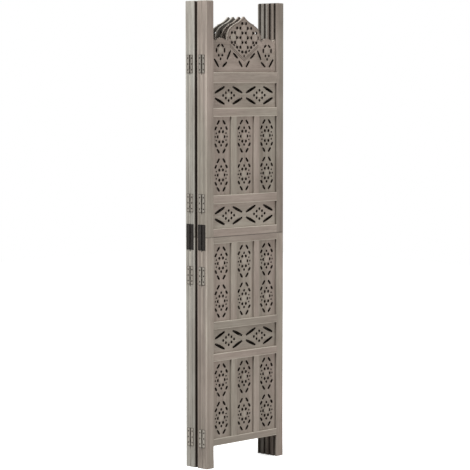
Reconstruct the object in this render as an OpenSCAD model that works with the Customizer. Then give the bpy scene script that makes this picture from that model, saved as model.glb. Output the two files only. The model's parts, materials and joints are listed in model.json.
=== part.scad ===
// Four-panel folding screen with pierced mashrabiya boards, standing folded.
// Millimetres, +Z up, +X along the panels, the front panel's face towards -Y.
// The origin lies on the floor, under the middle of the folded stack.

/* [Panel] */
// Width of one panel
panel_w = 400; // [380:5:440]
// Thickness of the frames
frame_t = 23; // [22:0.5:27]
// Height of the legs under the foot rail
leg_h = 79; // [60:1:110]
// Height of the stiles above the crest rail
horn_h = 250; // [240:2:290]

/* [Frame members] */
// Width of the stiles
stile_w = 35.5; // [33:0.5:40]
// Width of the muntins between the column boards
muntin_w = 26; // [22:1:30]
// Height of the rail above the legs
foot_rail_h = 25; // [22:1:36]
// Height of the two inner rails of the lower half
lower_rail_h = 27; // [24:1:36]
// Height of the rail under the seam
lower_seam_rail_h = 24; // [20:1:34]
// Height of the rail over the seam
upper_seam_rail_h = 29; // [22:1:36]
// Height of the two inner rails of the upper half
upper_rail_h = 31; // [24:1:38]
// Height of the rail that carries the crest board
crest_rail_h = 38; // [30:1:46]
// Rounding of the stiles' outer arrises
stile_arris_r = 2.5; // [1.5:0.5:3]
// Rounding of all the other arrises
arris_r = 0.8; // [0.5:0.1:1.2]
// Rounding of the stiles' tops
horn_top_r = 4; // [2:0.5:6]
// Depth of the groove that holds boards and tenons
groove_d = 8; // [6:0.5:9]

/* [Boards] */
// Thickness of the pierced boards and of the stub tenons
board_t = 8; // [6:0.5:9]
// Height of the cross boards, as seen between the rails
cross_h = 87; // [80:1:100]
// Height of the column boards, as seen between the rails
column_h = 276; // [270:2:300]
// Clearance on each face of a board or tenon in its groove
fit_gap = 0.15; // [0.1:0.05:0.3]
// Clearance at the bottom of a groove
end_gap = 0.5; // [0.3:0.1:1]

/* [Crest board] */
// Height of the onion arch above the crest rail
crest_h = 197.5; // [194:0.5:206]
// Width of the onion arch where it springs
onion_w = 175; // [170:1:180]
// Height of the valleys beside the onion arch, above the crest rail
valley_h = 111; // [108:1:116]
// Distance of the arch's shoulder from the middle
shoulder_x = 52; // [49:1:55]
// Drop of the arch's shoulder below the tip
shoulder_drop = 28; // [25:1:31]
// Height of the small side arches above the valleys
side_arch_h = 11; // [8:1:14]
// Width of the small side arches
side_arch_w = 54; // [48:1:58]
// Spacing of the lattice rosettes across the arch
lattice_x = 28; // [27:0.5:29]
// Spacing of the lattice rows
lattice_z = 16.75; // [16:0.25:17.5]
// Radius of the lattice openings before the rosettes bite into them
lattice_hole_r = 5.4; // [5:0.1:5.6]
// Radius of the rosettes between the lattice openings
rosette_r = 15; // [14.7:0.1:15.4]

/* [Column fretwork] */
// Spacing of the two motifs on a column board
column_pitch = 135; // [131:1:139]
// Radius of the boss inside the ring of six openings
boss_r = 14.2; // [13.8:0.1:14.8]
// Radius of the ring's openings
ring_hole_r = 4.9; // [4.4:0.1:5.2]
// Length of the end leaves
end_leaf_l = 19; // [17:0.5:20.5]
// Length of the side leaves
side_leaf_l = 14; // [12:0.5:15]
// Width of the leaves
leaf_w = 8; // [7:0.5:8.5]

/* [Cross fretwork] */
// Spacing of the two diamonds on a cross board
diamond_pitch = 160; // [154:1:166]
// Length of the four blades round a diamond
blade_l = 53; // [49:1:55]
// Width of the blades
blade_w = 9.5; // [8:0.5:10.5]
// Radius of the eight openings inside a diamond
diamond_hole_r = 4.5; // [3.9:0.1:4.8]

/* [Hinges] */
// Height of the four painted hinges of a fold line
hinge_h = 64; // [58:1:70]
// Width of a painted leaf, from the pin's axis
hinge_leaf_w = 15.5; // [14.5:0.5:17]
// Thickness of a painted leaf
hinge_leaf_t = 1.5; // [1.2:0.1:1.6]
// Height of the joining hinge that bridges the seam
joining_h = 90; // [84:1:100]
// Width of a joining leaf, from the pin's axis
joining_leaf_w = 17.5; // [16:0.5:18.5]
// Thickness of a joining leaf
joining_leaf_t = 2; // [1.6:0.1:2.2]
// Outer radius of the knuckles
knuckle_r = 3; // [2.8:0.1:3.4]
// Radius of the hinge pins
pin_r = 1.4; // [1.2:0.1:1.5]
// Height of the lowest hinge's middle above the floor
foot_hinge_z = 108; // [70:1:140]
// Drop of the next hinge's middle below the seam
lower_hinge_drop = 136; // [110:1:180]
// Rise of the third hinge's middle above the seam
upper_hinge_rise = 120; // [110:1:180]
// Drop of the highest hinge's middle below the stiles' tops
top_hinge_drop = 221; // [120:1:260]

/* [Fasteners] */
// Radius of a screw's shank
screw_r = 1.5; // [1.3:0.1:1.7]
// Radius of a screw's head
screw_head_r = 2.9; // [2.6:0.1:3.1]
// Length of a screw
screw_l = 13; // [11:0.5:14]
// Distance between the screws of a painted leaf
screw_pitch = 20.4; // [18:0.2:22]
// Radius of the dowels across the seam
dowel_r = 4; // [3.5:0.25:4.5]
// Length of the dowels across the seam
dowel_l = 60; // [44:2:70]

/* [Folded stack] */
// Gap between two hinged panels
fold_gap = 0.8; // [0.6:0.1:1.5]
// Angle to which the rear pair stands open behind the front pair
rest_wedge = 1.5; // [0:0.1:5]

/* [Hidden] */
panels = 4;
folds = panels - 1;
columns = 3;
motifs = 2;
PANEL_PIECES = ["upper_stiles", "lower_stiles", "upper_rails", "lower_rails", "upper_muntins",
    "lower_muntins", "crest_board", "cross_boards", "column_boards", "seam_dowels", "hinge_screws"];
FOLD_PIECES = ["front_leaves", "rear_leaves", "joining_front_leaf", "joining_rear_leaf", "pins"];

wood = [0.60, 0.55, 0.50];
carved_wood = [0.57, 0.52, 0.47];
pale_wood = [0.72, 0.64, 0.52];
painted_steel = [0.63, 0.59, 0.54];
black_steel = [0.13, 0.12, 0.12];
dark_steel = [0.26, 0.24, 0.22];

$fn = 32;
arris_steps = 3;
curve_steps = 8;
overlap = 1;
pin_clearance = 0.05;
screw_clearance = 0.05;
hole_clearance = 0.15;
knuckle_clearance = 0.3;
knuckle_count = 5;
tongue = groove_d - end_gap;
open_w = panel_w - 2 * stile_w;
column_w = (open_w - (columns - 1) * muntin_w) / columns;

// Heights of the joints between the members, from the floor up
foot_rail_z = leg_h;
low_column_z = foot_rail_z + foot_rail_h;
low_rail_z = low_column_z + column_h;
low_cross_z = low_rail_z + lower_rail_h;
mid_rail_z = low_cross_z + cross_h;
mid_column_z = mid_rail_z + lower_rail_h;
lower_seam_rail_z = mid_column_z + column_h;
seam_z = lower_seam_rail_z + lower_seam_rail_h;
seam_cross_z = seam_z + upper_seam_rail_h;
high_rail_z = seam_cross_z + cross_h;
high_column_z = high_rail_z + upper_rail_h;
top_rail_z = high_column_z + column_h;
top_cross_z = top_rail_z + upper_rail_h;
crest_rail_z = top_cross_z + cross_h;
crest_z = crest_rail_z + crest_rail_h;
panel_h = crest_z + horn_h;

// The pin stands clear of the stile's edge, midway between two panels
pin_out = knuckle_r + knuckle_clearance;
hinge_z = [foot_hinge_z, seam_z - lower_hinge_drop, seam_z + upper_hinge_rise, panel_h - top_hinge_drop];
hinge_screw_y = (knuckle_r + knuckle_clearance + hinge_leaf_w) / 2;
joining_screw_y = (knuckle_r + knuckle_clearance + joining_leaf_w) / 2;
joining_screw_z = [for (share = [-0.39, -0.16, 0.16, 0.39]) share * joining_h];
pin_head_h = 1.2;
screw_tip_l = 2.5;
screw_head_h = screw_head_r - screw_r;
pilot_spare = 1;
dowel_wall = 2.5;
dowel_x = stile_w - groove_d - dowel_wall - dowel_r;

// The stack's depth reaches to the rear panel's rounded back arris at its left end
second_fold_y = 2 * frame_t + 1.5 * fold_gap;
rear_reach = 2 * frame_t + 1.5 * fold_gap - stile_arris_r;
stack_d = second_fold_y + rear_reach * cos(rest_wedge) + stile_arris_r
    + (panel_w + pin_out - stile_arris_r) * sin(rest_wedge);

// Points of a quarter circle round one corner
function corner(x, y, r, a) =
    [for (i = [0:arris_steps]) [x, y] + r * [cos(a + 90 * i / arris_steps), sin(a + 90 * i / arris_steps)]];

// A rectangle with its four corners rounded, from the lower left one round to the upper left one
function rounded(x0, y0, x1, y1, r) = concat(
    corner(x0 + r[0], y0 + r[0], r[0], 180), corner(x1 - r[1], y0 + r[1], r[1], 270),
    corner(x1 - r[2], y1 - r[2], r[2], 0), corner(x0 + r[3], y1 - r[3], r[3], 90));

// An arc from p up to q, without q itself, which swells to the left of its way by a given rise
function arc(p, q, rise) =
    let (way = q - p, chord = norm(way), r = (chord * chord / 4 + rise * rise) / (2 * abs(rise)),
        along = way / chord, out = [-along.y, along.x] * sign(rise),
        middle = (p + q) / 2 - out * (r - abs(rise)), half = asin(chord / 2 / r))
    [for (i = [0:curve_steps - 1]) let (a = half * (1 - 2 * i / curve_steps))
        middle + r * (out * cos(a) - along * sin(a))];

function flipped(points) = [for (i = [len(points) - 1:-1:0]) [-points[i].x, points[i].y]];

// ---------- Fretwork, drawn flat: x across the board, y up the board ----------

// A slot with curved flanks and blunt ends, where the flanks would meet further out
module leaf(length, width) {
    meeting_l = 1.45 * length;
    r = (meeting_l * meeting_l + width * width) / (4 * width);
    intersection() {
        translate([0, r - width / 2]) circle(r, $fn = 64);
        translate([0, width / 2 - r]) circle(r, $fn = 64);
        square([length, width], center = true);
    }
}

// A slot between two points
module slot(p, q, width) {
    way = q - p;
    translate((p + q) / 2) rotate(atan2(way.y, way.x)) leaf(norm(way), width);
}

// Copies its children into the four quarters
module quarters() {
    for (mx = [0, 1], my = [0, 1]) mirror([mx, 0]) mirror([0, my]) children();
}

// Ring of six openings round a boss, inside a tall diamond of leaves
module column_motif() {
    ring = [9.3, 17.8];
    side_ring_x = boss_r + 2.6;
    end_hole_z = 30;
    end_hole_r = 0.85 * ring_hole_r;
    dot_r = 2.7;
    dot_x = 30;
    flank_dot = [24.8, 12.5];
    side_leaf = [27.5, 30];
    side_turn = 128;
    end_leaf = [15, 50.5];
    end_turn = 132;
    difference() {
        union() {
            quarters() translate(ring) circle(ring_hole_r);
            for (side = [-1, 1]) translate([side * side_ring_x, 0]) circle(ring_hole_r);
        }
        circle(boss_r, $fn = 48);
    }
    for (side = [-1, 1]) {
        translate([0, side * end_hole_z]) circle(end_hole_r);
        translate([side * dot_x, 0]) circle(dot_r);
    }
    quarters() {
        translate(flank_dot) circle(dot_r);
        translate(side_leaf) rotate(side_turn) leaf(side_leaf_l, leaf_w);
        translate(end_leaf) rotate(end_turn) leaf(end_leaf_l, leaf_w);
    }
}

// Eight openings inside a long diamond of four blades
module cross_motif() {
    blade_middle = [45.3, 20];
    blade_turn = 156.5;
    flank_hole = [14.3, 9.4];
    end_hole = [28, 18];
    quarters() {
        translate(flank_hole) circle(diamond_hole_r);
        translate(blade_middle) rotate(blade_turn) leaf(blade_l, blade_w);
    }
    for (side = [-1, 1]) {
        translate([0, side * end_hole.y]) circle(diamond_hole_r);
        translate([side * end_hole.x, 0]) circle(diamond_hole_r);
    }
}

// Lattice of rosettes that fills the onion arch, drawn from the crest rail's middle.
// The openings stand in pairs, and those on the rim are drawn in towards the middle.
module lattice() {
    reach = 3;
    pair_x = 9.5;
    rim_pull = 4;
    middle_z = valley_h + 11.5;
    border = 8;
    function on_rim(i, j, side) = abs(i) + abs(j) == reach && (side * i > 0 || abs(i) == reach);
    function hole_x(i, j, side) = lattice_x * i + pair_x * side
        - (on_rim(i, j, side) ? rim_pull * i / reach : 0);
    difference() {
        for (i = [-reach:reach], j = [-reach:reach], side = [-1, 1])
            if ((i + j) % 2 != 0 && abs(i) + abs(j) <= reach
                    && abs(hole_x(i, j, side)) + lattice_hole_r + border < onion_w / 2)
                translate([hole_x(i, j, side), middle_z + lattice_z * j]) circle(lattice_hole_r);
        for (i = [-reach:reach], j = [-reach:reach])
            if ((i + j) % 2 == 0 && abs(i) + abs(j) <= reach)
                translate([lattice_x * i, middle_z + lattice_z * j]) circle(rosette_r, $fn = 48);
    }
    closing_leaves(middle_z, reach);
}

// Small leaves along the V that closes the lattice below
module closing_leaves(middle_z, reach) {
    foot_rows = 3.9;
    rows_risen = 1.17;
    step_x = 0.93 * lattice_x;
    slope = atan2(rows_risen * lattice_z, step_x);
    for (i = [1 - reach:reach - 1])
        translate([step_x * i, middle_z - lattice_z * (foot_rows - rows_risen * abs(i))])
            rotate(i == 0 ? 90 : sign(i) * slope) leaf(1.6 * lattice_hole_r, 1.05 * lattice_hole_r);
}

// Slots that swing in a zigzag under the arches, for the right-hand half
module crest_slots() {
    blade = 8;
    under_onion = [[[10, 19], [27.5, 41]], [[33, 50], [56, 67.5]]];
    round_medallion = [[[-51.5, 77], [-33, 45.5]], [[-32, 35.5], [-10.5, 19.5]], [[9.5, 18.8], [32, 46.8]]];
    for (ends = under_onion) slot(ends[0], ends[1], blade);
    translate([side_arch_x(), 0]) for (ends = round_medallion) slot(ends[0], ends[1], blade);
}

// Small medallion under a side arch
module medallion() {
    middle_drop = 33.5;
    head_leaf = [[4.5, 20.5], [16.5, 11.5]];
    side_leaf = [[20.5, 7.5], [20.5, -8]];
    low_hole = [9, -18];
    hole_r = 4.4;
    foot_z = -30.5;
    translate([0, valley_h - middle_drop]) {
        for (mx = [0, 1]) mirror([mx, 0]) {
            slot(head_leaf[0], head_leaf[1], 0.85 * leaf_w);
            slot(side_leaf[0], side_leaf[1], 0.95 * leaf_w);
            translate(low_hole) circle(hole_r);
        }
        translate([0, foot_z]) rotate(90) leaf(2 * hole_r, 1.6 * hole_r);
    }
}

// A side arch stands a little inwards of the middle between the onion arch and the stile
function side_arch_x() = let (inwards = 5) (onion_w + open_w) / 4 - inwards;

// ---------- Boards ----------

// Stands a flat outline upright in the middle of the frame's thickness
module upright(t) {
    translate([0, (frame_t + t) / 2, 0]) rotate([90, 0, 0]) linear_extrude(t) children();
}

// A plain board whose tongues fill the grooves on all four sides
module board(w, h) {
    upright(board_t) difference() {
        translate([-tongue, -tongue]) square([w + 2 * tongue, h + 2 * tongue]);
        translate([w / 2, h / 2]) children();
    }
}

module column_boards() {
    color(carved_wood) for (z = [low_column_z, mid_column_z, high_column_z], i = [0:columns - 1])
        translate([stile_w + i * (column_w + muntin_w), 0, z])
            board(column_w, column_h)
                for (m = [0:motifs - 1])
                    translate([0, (m - (motifs - 1) / 2) * column_pitch]) column_motif();
}

module cross_boards() {
    color(carved_wood) for (z = [low_cross_z, seam_cross_z, top_cross_z])
        translate([stile_w, 0, z])
            board(open_w, cross_h)
                for (m = [0:motifs - 1])
                    translate([(m - (motifs - 1) / 2) * diamond_pitch, 0]) cross_motif();
}

// Right half of the crest's top edge, from the stile's groove in to the tip
function crest_edge() =
    let (edge_x = open_w / 2 + tongue, tip = [4.5, 3], step = 3, valley_w = 4,
        end_rise = 7, end_room = 8, side_swell = -2, flank_swell = -12, ogee_sag = 3.5, tip_swell = -0.8,
        arch_x = side_arch_x(), foot_x = onion_w / 2 + valley_w,
        outer_x = min(arch_x + side_arch_w / 2, open_w / 2 - end_room),
        shoulder = [shoulder_x, crest_h - shoulder_drop])
    concat(
        arc([edge_x, valley_h + end_rise], [outer_x, valley_h], side_swell),
        arc([outer_x, valley_h], [arch_x, valley_h + side_arch_h], side_swell),
        arc([arch_x, valley_h + side_arch_h], [foot_x, valley_h], side_swell),
        [[foot_x, valley_h]],
        arc([onion_w / 2, valley_h], shoulder - [0, step], flank_swell),
        [shoulder - [0, step]],
        arc(shoulder, [tip.x, crest_h - tip.y], ogee_sag),
        arc([tip.x, crest_h - tip.y], [0, crest_h], tip_swell));

module crest_board() {
    edge_x = open_w / 2 + tongue;
    half = crest_edge();
    color(carved_wood) translate([panel_w / 2, 0, crest_z]) upright(board_t) difference() {
        polygon(concat([[-edge_x, -tongue], [edge_x, -tongue]], half, [[0, crest_h]], flipped(half)));
        lattice();
        for (mx = [0, 1]) mirror([mx, 0]) {
            crest_slots();
            translate([side_arch_x(), 0]) medallion();
        }
    }
}

// ---------- Frame ----------

// Groove for a tongue, cut into an edge that lies on y = 0 and opens downwards
module groove_section() {
    w = board_t + 2 * fit_gap;
    translate([(frame_t - w) / 2, -overlap]) square([w, groove_d + overlap]);
}

// A rail from stile to stile, with stub tenons and with grooves where it holds boards
module rail(z, h, groove_under, groove_over) {
    under = groove_under ? groove_d : 0;
    over = groove_over ? groove_d : 0;
    translate([stile_w, 0, z]) rotate([90, 0, 90]) linear_extrude(open_w) difference() {
        polygon(rounded(0, 0, frame_t, h, [arris_r, arris_r, arris_r, arris_r]));
        if (groove_under) groove_section();
        if (groove_over) translate([0, h]) mirror([0, 1]) groove_section();
    }
    translate([stile_w - tongue, (frame_t - board_t) / 2, z + max(under, arris_r)])
        cube([open_w + 2 * tongue, board_t, h - max(under, arris_r) - max(over, arris_r)]);
}

module upper_rails() {
    color(wood) {
        rail(seam_z, upper_seam_rail_h, false, true);
        rail(high_rail_z, upper_rail_h, true, true);
        rail(top_rail_z, upper_rail_h, true, true);
        rail(crest_rail_z, crest_rail_h, true, true);
    }
}

module lower_rails() {
    color(wood) {
        rail(foot_rail_z, foot_rail_h, false, true);
        rail(low_rail_z, lower_rail_h, true, true);
        rail(mid_rail_z, lower_rail_h, true, true);
        rail(lower_seam_rail_z, lower_seam_rail_h, true, false);
    }
}

// A muntin between two rails, grooved on both edges and tenoned into the rails' grooves
module muntin(z) {
    translate([0, 0, z]) linear_extrude(column_h) difference() {
        polygon(rounded(0, 0, muntin_w, frame_t, [arris_r, arris_r, arris_r, arris_r]));
        for (mx = [0, 1]) translate([mx * muntin_w, 0]) mirror([mx, 0]) rotate(-90) mirror([1, 0])
            groove_section();
    }
    translate([groove_d, (frame_t - board_t) / 2, z - tongue])
        cube([muntin_w - 2 * groove_d, board_t, column_h + 2 * tongue]);
}

module muntin_row(z) {
    color(wood) for (i = [1:columns - 1])
        translate([stile_w + i * column_w + (i - 1) * muntin_w, 0, 0]) muntin(z);
}

module upper_muntins() { muntin_row(high_column_z); }

module lower_muntins() {
    muntin_row(low_column_z);
    muntin_row(mid_column_z);
}

// A left-hand stile between two heights, with its groove on the inner edge
module stile(z0, z1, foot_r, head_r) {
    intersection() {
        translate([0, 0, z0]) linear_extrude(z1 - z0) difference() {
            polygon(rounded(0, 0, stile_w, frame_t, [stile_arris_r, arris_r, arris_r, stile_arris_r]));
            translate([stile_w, 0]) mirror([1, 0]) rotate(-90) mirror([1, 0]) groove_section();
        }
        translate([0, frame_t, 0]) rotate([90, 0, 0]) linear_extrude(frame_t)
            polygon(rounded(0, z0, stile_w, z1, [foot_r, foot_r, head_r, head_r]));
        rotate([90, 0, 90]) linear_extrude(stile_w)
            polygon(rounded(0, z0, frame_t, z1, [foot_r, foot_r, head_r, head_r]));
    }
}

// Both stiles of one half, bored for the dowels and piloted for the hinge screws
module stile_pair(k, z0, z1, foot_r, head_r) {
    color(wood) difference() {
        for (right = [0, 1]) translate([right * panel_w, 0, 0]) mirror([right, 0, 0])
            stile(z0, z1, foot_r, head_r);
        at_dowels() cylinder(r = dowel_r + screw_clearance, h = dowel_l + 2 * end_gap, center = true);
        at_screws(k, z0, z1) cylinder(r = screw_r + screw_clearance, h = screw_l + pilot_spare);
    }
}

module upper_stiles(k) { stile_pair(k, seam_z, panel_h, arris_r, horn_top_r); }

module lower_stiles(k) { stile_pair(k, 0, seam_z, arris_r, arris_r); }

// The dowels' middles, in both stiles on the seam
module at_dowels() {
    for (x = [dowel_x, panel_w - dowel_x]) translate([x, frame_t / 2, seam_z]) children();
}

module seam_dowels() {
    tip = 1;
    color(pale_wood) at_dowels() rotate_extrude() polygon([[0, -dowel_l / 2],
        [dowel_r - tip, -dowel_l / 2], [dowel_r, tip - dowel_l / 2], [dowel_r, dowel_l / 2 - tip],
        [dowel_r - tip, dowel_l / 2], [0, dowel_l / 2]]);
}

// ---------- Hinges ----------

// A panel's fold lines: odd ones run up the left edge, even ones up the right
function folds_of(k) = [for (j = [k - 1, k]) if (j >= 1 && j <= folds) j];

// Goes to a fold line of panel k. There the pin is the Z axis, the wood begins at
// x = pin_out, and the panel's own leaf runs towards +Y.
module at_fold(k, j) {
    right = j % 2 == 0 ? 1 : 0;
    front = j == k ? 1 : 0;
    translate([right ? panel_w + pin_out : -pin_out, front ? frame_t + fold_gap / 2 : -fold_gap / 2, 0])
        mirror([right, 0, 0]) mirror([0, front, 0]) children();
}

// Each hinge screw of panel k between two heights, its head at the origin and its way along +Z
module at_screws(k, z0, z1) {
    for (j = folds_of(k)) at_fold(k, j) {
        for (z = hinge_z, i = [-1:1]) if (z > z0 && z < z1)
            translate([pin_out - hinge_leaf_t, hinge_screw_y, z + i * screw_pitch])
                rotate([0, 90, 0]) children();
        for (dz = joining_screw_z) if (seam_z + dz > z0 && seam_z + dz < z1)
            translate([pin_out - joining_leaf_t, joining_screw_y, seam_z + dz])
                rotate([0, 90, 0]) children();
    }
}

// One leaf with its knuckles, and with countersunk holes at the given heights
module hinge_leaf(w, h, t, first_knuckle, screw_y, screw_z) {
    rim = knuckle_r + knuckle_clearance;
    pitch = h / knuckle_count;
    sink = screw_head_h + hole_clearance;
    difference() {
        union() {
            translate([pin_out - t, rim, -h / 2]) cube([t, w - rim, h]);
            for (i = [first_knuckle:2:knuckle_count - 1]) {
                low = i == 0 ? 0 : knuckle_clearance / 2;
                high = i == knuckle_count - 1 ? 0 : knuckle_clearance / 2;
                translate([0, 0, i * pitch - h / 2 + low]) {
                    cylinder(r = knuckle_r, h = pitch - low - high);
                    translate([pin_out - t, 0, 0]) cube([t, rim + overlap, pitch - low - high]);
                }
            }
        }
        cylinder(r = pin_r + pin_clearance, h = h + 2 * overlap, center = true);
        for (z = screw_z) translate([pin_out - t, screw_y, z]) rotate([0, 90, 0]) {
            translate([0, 0, -overlap]) cylinder(r = screw_r + hole_clearance, h = t + 2 * overlap);
            cylinder(r1 = screw_head_r + hole_clearance, r2 = screw_r + hole_clearance, h = sink);
            translate([0, 0, -overlap]) cylinder(r = screw_head_r + hole_clearance, h = overlap);
        }
    }
}

module painted_leaves(k, j) {
    color(painted_steel) at_fold(k, j) for (z = hinge_z) translate([0, 0, z])
        hinge_leaf(hinge_leaf_w, hinge_h, hinge_leaf_t, j == k ? 0 : 1, hinge_screw_y,
            [for (i = [-1:1]) i * screw_pitch]);
}

module joining_leaf(k, j) {
    color(black_steel) at_fold(k, j) translate([0, 0, seam_z])
        hinge_leaf(joining_leaf_w, joining_h, joining_leaf_t, j == k ? 0 : 1, joining_screw_y,
            joining_screw_z);
}

// A pin with a low domed head at either end
module pin(h) {
    head_inset = 0.4;
    head_r = knuckle_r - head_inset;
    half = [[pin_r, h / 2], [head_r, h / 2], [head_r, h / 2 + pin_head_h / 2],
        [head_r / 2, h / 2 + pin_head_h], [0, h / 2 + pin_head_h]];
    rotate_extrude() polygon(concat(half, [for (i = [len(half) - 1:-1:0]) [half[i].x, -half[i].y]]));
}

module pins(j) {
    color(dark_steel) at_fold(j, j) {
        for (z = hinge_z) translate([0, 0, z]) pin(hinge_h);
        translate([0, 0, seam_z]) pin(joining_h);
    }
}

// A countersunk wood screw
module screw() {
    rim = 0.2;
    rotate_extrude() polygon([[0, 0], [screw_head_r, 0], [screw_head_r, rim],
        [screw_r, rim + screw_head_h - screw_clearance], [screw_r, screw_l - screw_tip_l], [0, screw_l]]);
}

module hinge_screws(k) { color(dark_steel) at_screws(k, 0, panel_h) screw(); }

// ---------- Folded stack ----------

// Goes to panel k's lower left front corner. The rear pair turns about the second fold line.
module on_panel(k) {
    translate([-panel_w / 2, -stack_d / 2, 0])
        if (k <= 2) translate([0, (k - 1) * (frame_t + fold_gap), 0]) children();
        else translate([panel_w + pin_out, second_fold_y, 0]) rotate(-rest_wedge)
            translate([-panel_w - pin_out, fold_gap / 2 + (k - 3) * (frame_t + fold_gap), 0]) children();
}

for (k = [1:panels]) {
    on_panel(k) upper_stiles(k);
    on_panel(k) lower_stiles(k);
    on_panel(k) upper_rails();
    on_panel(k) lower_rails();
    on_panel(k) upper_muntins();
    on_panel(k) lower_muntins();
    on_panel(k) crest_board();
    on_panel(k) cross_boards();
    on_panel(k) column_boards();
    on_panel(k) seam_dowels();
    on_panel(k) hinge_screws(k);
}

for (j = [1:folds]) {
    on_panel(j) painted_leaves(j, j);
    on_panel(j + 1) painted_leaves(j + 1, j);
    on_panel(j) joining_leaf(j, j);
    on_panel(j + 1) joining_leaf(j + 1, j);
    on_panel(j) pins(j);
}
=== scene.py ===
import json
import math
import random

import bpy
from bpy.props import FloatProperty, FloatVectorProperty, PointerProperty
from mathutils import Matrix, Vector

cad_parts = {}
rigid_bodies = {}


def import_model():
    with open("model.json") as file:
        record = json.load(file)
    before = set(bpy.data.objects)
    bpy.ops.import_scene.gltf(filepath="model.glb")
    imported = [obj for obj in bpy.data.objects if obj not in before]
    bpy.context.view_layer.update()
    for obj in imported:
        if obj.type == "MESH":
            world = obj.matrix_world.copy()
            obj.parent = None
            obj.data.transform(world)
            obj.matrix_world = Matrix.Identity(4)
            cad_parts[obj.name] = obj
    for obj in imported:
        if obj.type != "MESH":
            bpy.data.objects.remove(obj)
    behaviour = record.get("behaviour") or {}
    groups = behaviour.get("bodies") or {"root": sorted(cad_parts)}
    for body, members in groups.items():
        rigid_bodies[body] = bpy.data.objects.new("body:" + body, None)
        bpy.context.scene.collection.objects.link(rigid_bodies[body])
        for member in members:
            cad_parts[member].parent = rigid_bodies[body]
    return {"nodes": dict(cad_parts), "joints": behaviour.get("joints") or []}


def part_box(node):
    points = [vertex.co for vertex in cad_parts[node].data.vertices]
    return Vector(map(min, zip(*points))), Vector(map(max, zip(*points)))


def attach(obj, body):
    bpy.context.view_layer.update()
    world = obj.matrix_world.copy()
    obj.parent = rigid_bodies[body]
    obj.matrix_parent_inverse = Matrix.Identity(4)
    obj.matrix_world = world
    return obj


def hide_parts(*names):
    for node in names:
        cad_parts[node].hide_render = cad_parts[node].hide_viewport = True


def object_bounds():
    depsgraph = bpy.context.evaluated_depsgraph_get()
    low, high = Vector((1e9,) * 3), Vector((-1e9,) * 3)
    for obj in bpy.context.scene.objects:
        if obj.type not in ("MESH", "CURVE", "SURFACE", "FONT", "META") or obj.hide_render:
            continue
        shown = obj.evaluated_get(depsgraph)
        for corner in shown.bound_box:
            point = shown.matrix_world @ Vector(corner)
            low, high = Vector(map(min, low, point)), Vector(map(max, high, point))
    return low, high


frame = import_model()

bl_info = {
    "name": "Pierced Folding Screen",
    "version": (1, 0, 0),
    "blender": (4, 5, 0),
    "location": "3D View > Sidebar > Screen",
    "description": "Carves and finishes a four-panel folding screen with pierced boards",
    "category": "Add Mesh",
}

CAD_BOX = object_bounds()
MM = 0.001
ACROSS, THROUGH, UP = range(3)

# Panel 1 stands square to the axes, so every piece is shaped in its place and then carried over
PANELS = range(1, 5)
FOLDS = range(1, 4)
FRAME_LOW, FRAME_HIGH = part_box("panel_1_upper_stiles")
BOARD_LOW, BOARD_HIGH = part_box("panel_1_crest_board")
CREST_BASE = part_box("panel_1_upper_rails")[1].z
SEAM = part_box("panel_1_lower_stiles")[1].z
PANEL_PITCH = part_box("panel_2_upper_stiles")[0].y - FRAME_LOW.y
JOINTS = {joint["name"]: joint for joint in frame["joints"]}

# Vertices as near as this are one, and so are faces that turn as little as this from one another
MERGE = 1e-6
FLAT = math.radians(0.5)
# A face is square to an axis where its normal has at least this share along it
SQUARE = 0.98

# The order of the materials on the members, on the boards and on the hinge leaves
PLAIN, ARRIS, END, GROOVE, INNER = range(5)
FACE, RIM, WALL, OUTSIDE = range(4)
PAINT, WORN, SHADOW = range(3)


# ---------- Sizes and colours that a user would change ----------


def size_of(name, description, default):
    return FloatProperty(
        name=name, description=description, default=default, subtype="DISTANCE", unit="LENGTH")


def colour_of(name, description, default):
    return FloatVectorProperty(
        name=name, description=description, default=default, subtype="COLOR", size=3, min=0, max=1)


def power_of(name, description, default):
    return FloatProperty(name=name, description=description, default=default, unit="POWER")


def angle_of(name, description, default):
    return FloatProperty(
        name=name, description=description, default=default, subtype="ANGLE", unit="ROTATION")


class ScreenCarving(bpy.types.PropertyGroup):
    """Places and sizes of the carving on the boards"""

    rim_round: size_of("Rim rounding", "Rounding of the openings' rims", 0.9 * MM)
    line_depth: size_of("Line depth", "Depth of the carved lines under the lattice", 1.2 * MM)
    arch_line_depth: size_of("Arch line depth", "Depth of the carved line along the arch", 0.9 * MM)
    boss_rise: size_of("Boss rise", "Height of the bosses over the board", 1.1 * MM)
    rosette_radius: size_of(
        "Rosette radius", "Radius of the rosettes in the arch's lattice", 12.4 * MM)
    rosette_step_x: size_of(
        "Rosette step across", "Spacing of the rosettes across the arch", 28 * MM)
    rosette_step_z: size_of("Rosette step up", "Spacing of the rows of rosettes", 16.75 * MM)
    lattice_middle: size_of(
        "Lattice middle", "Height of the lattice's middle above the crest rail", 122.5 * MM)
    arch_width: size_of("Arch width", "Width of the onion arch where it springs", 175 * MM)
    arch_height: size_of("Arch height", "Height of the onion arch above the crest rail", 197.5 * MM)
    valley_height: size_of("Valley height", "Height of the valleys beside the onion arch", 111 * MM)
    medallion_radius: size_of(
        "Medallion radius", "Radius of the bosses in the side medallions", 11.6 * MM)
    medallion_x: size_of(
        "Medallion place", "Distance of the side medallions from the middle", 121 * MM)
    column_boss_radius: size_of(
        "Column boss radius", "Radius of the bosses on the column boards", 12.2 * MM)
    column_pitch: size_of("Column pitch", "Spacing of the two motifs on a column board", 135 * MM)
    diamond_boss_radius: size_of(
        "Diamond boss radius", "Radius of the bosses in the cross boards' diamonds", 8.4 * MM)
    diamond_pitch: size_of(
        "Diamond pitch", "Spacing of the two diamonds on a cross board", 160 * MM)


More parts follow.
